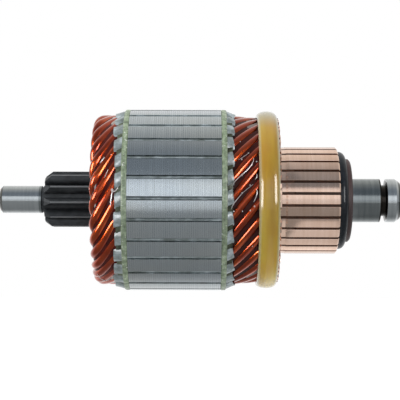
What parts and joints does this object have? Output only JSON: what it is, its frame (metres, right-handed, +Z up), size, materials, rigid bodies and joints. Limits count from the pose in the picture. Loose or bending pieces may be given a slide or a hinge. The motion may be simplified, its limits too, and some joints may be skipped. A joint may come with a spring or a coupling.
{
  "type": "motor armature",
  "caption": "Wound armature of a geared starter motor: shaft with cut pinion, slotted laminated core, hairpin winding, resin band and commutator on one axis.",
  "frame": {"origin": "on the shaft axis at mid length of the shaft", "axes": "+X along the shaft from the pinion end to the commutator end, +Z up; a slot and a commutator bar face -Y"},
  "size_m": [0.1268, 0.0574, 0.0574],
  "materials": {
    "shaft_steel": "ground",
    "core_steel": "satin",
    "disc_fibre": "varnished",
    "liner_paper": "varnished",
    "enamelled_wire": "gloss enamel",
    "band_resin": "gloss",
    "bar_copper": "turned",
    "black_moulding": "satin",
    "bush_steel": "plain",
    "washer_fibre": "matt"
  },
  "bodies": {
    "root": {"shaft": "shaft_steel", "lamination_stack": "core_steel", "drive_end_disc": "disc_fibre", "commutator_end_disc": "disc_fibre", "slot_liners": "liner_paper", "commutator_bars": "bar_copper", "commutator_moulding": "black_moulding", "commutator_bush": "bush_steel", "thrust_washer": "washer_fibre", "winding_band": "band_resin", "hairpin_01": "enamelled_wire", "hairpin_02": "enamelled_wire", "hairpin_03": "enamelled_wire", "hairpin_04": "enamelled_wire", "hairpin_05": "enamelled_wire", "hairpin_06": "enamelled_wire", "hairpin_07": "enamelled_wire", "hairpin_08": "enamelled_wire", "hairpin_09": "enamelled_wire", "hairpin_10": "enamelled_wire", "hairpin_11": "enamelled_wire", "hairpin_12": "enamelled_wire", "hairpin_13": "enamelled_wire", "hairpin_14": "enamelled_wire", "hairpin_15": "enamelled_wire", "hairpin_16": "enamelled_wire", "hairpin_17": "enamelled_wire", "hairpin_18": "enamelled_wire", "hairpin_19": "enamelled_wire", "hairpin_20": "enamelled_wire", "hairpin_21": "enamelled_wire", "hairpin_22": "enamelled_wire", "hairpin_23": "enamelled_wire", "hairpin_24": "enamelled_wire", "hairpin_25": "enamelled_wire", "hairpin_26": "enamelled_wire", "hairpin_27": "enamelled_wire", "hairpin_28": "enamelled_wire"}
  },
  "joints": []
}
